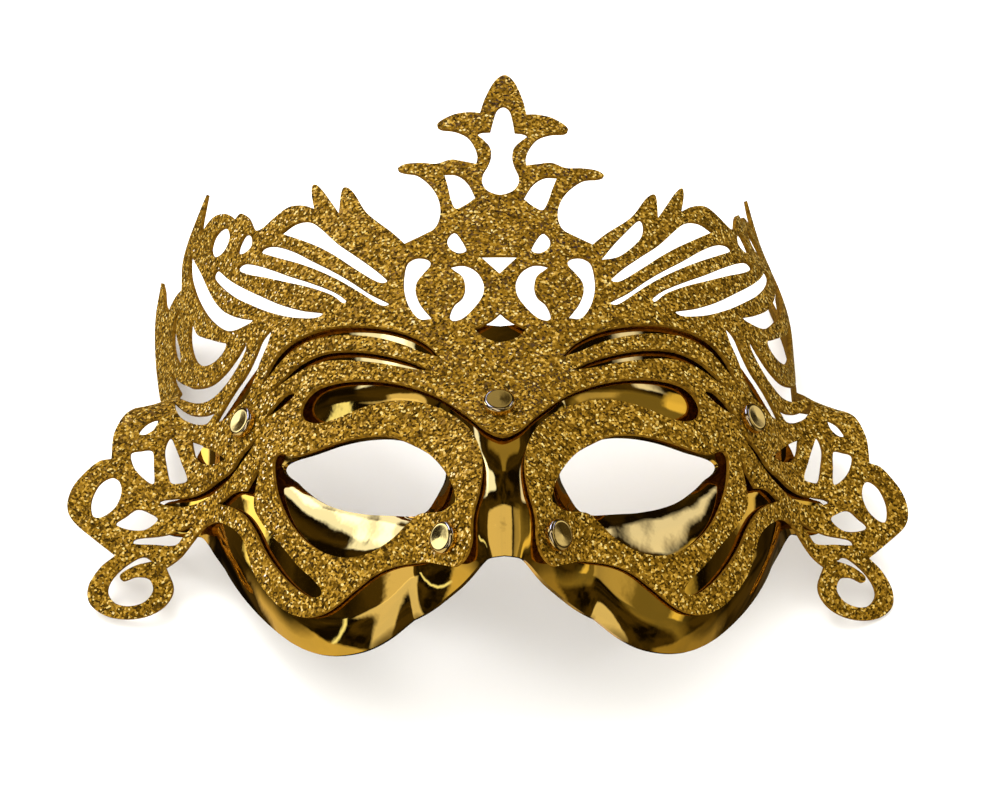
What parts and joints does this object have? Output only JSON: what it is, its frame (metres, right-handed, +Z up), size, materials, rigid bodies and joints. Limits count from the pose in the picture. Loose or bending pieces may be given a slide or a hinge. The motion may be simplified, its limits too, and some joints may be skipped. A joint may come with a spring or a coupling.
{
  "type": "venetian masquerade mask",
  "caption": "Half face mask: a mirror-bright moulded shell with a filigree sheet in glitter riveted over it, and holes at the temples for a strap.",
  "frame": {"origin": "centre of the bottom of the box round the mask as it lies on its back on a table", "axes": "+Z up from the table and out of the face, +Y towards the crown, +X towards the wearer's left ear"},
  "size_m": [0.2096, 0.1481, 0.0787],
  "materials": {
    "shell": "mirror-bright gold metallising on thin moulded ABS",
    "filigree": "gold glitter coat over a stiff die-cut sheet",
    "rivet": "polished button cap",
    "rivet_back": "satin cap"
  },
  "bodies": {
    "root": {"shell": "shell", "filigree": "filigree", "rivet_forehead": "rivet", "rivet_temple_left": "rivet", "rivet_temple_right": "rivet", "rivet_nose_left": "rivet", "rivet_nose_right": "rivet", "back_forehead": "rivet_back", "back_temple_left": "rivet_back", "back_temple_right": "rivet_back", "back_nose_left": "rivet_back", "back_nose_right": "rivet_back"}
  },
  "joints": []
}
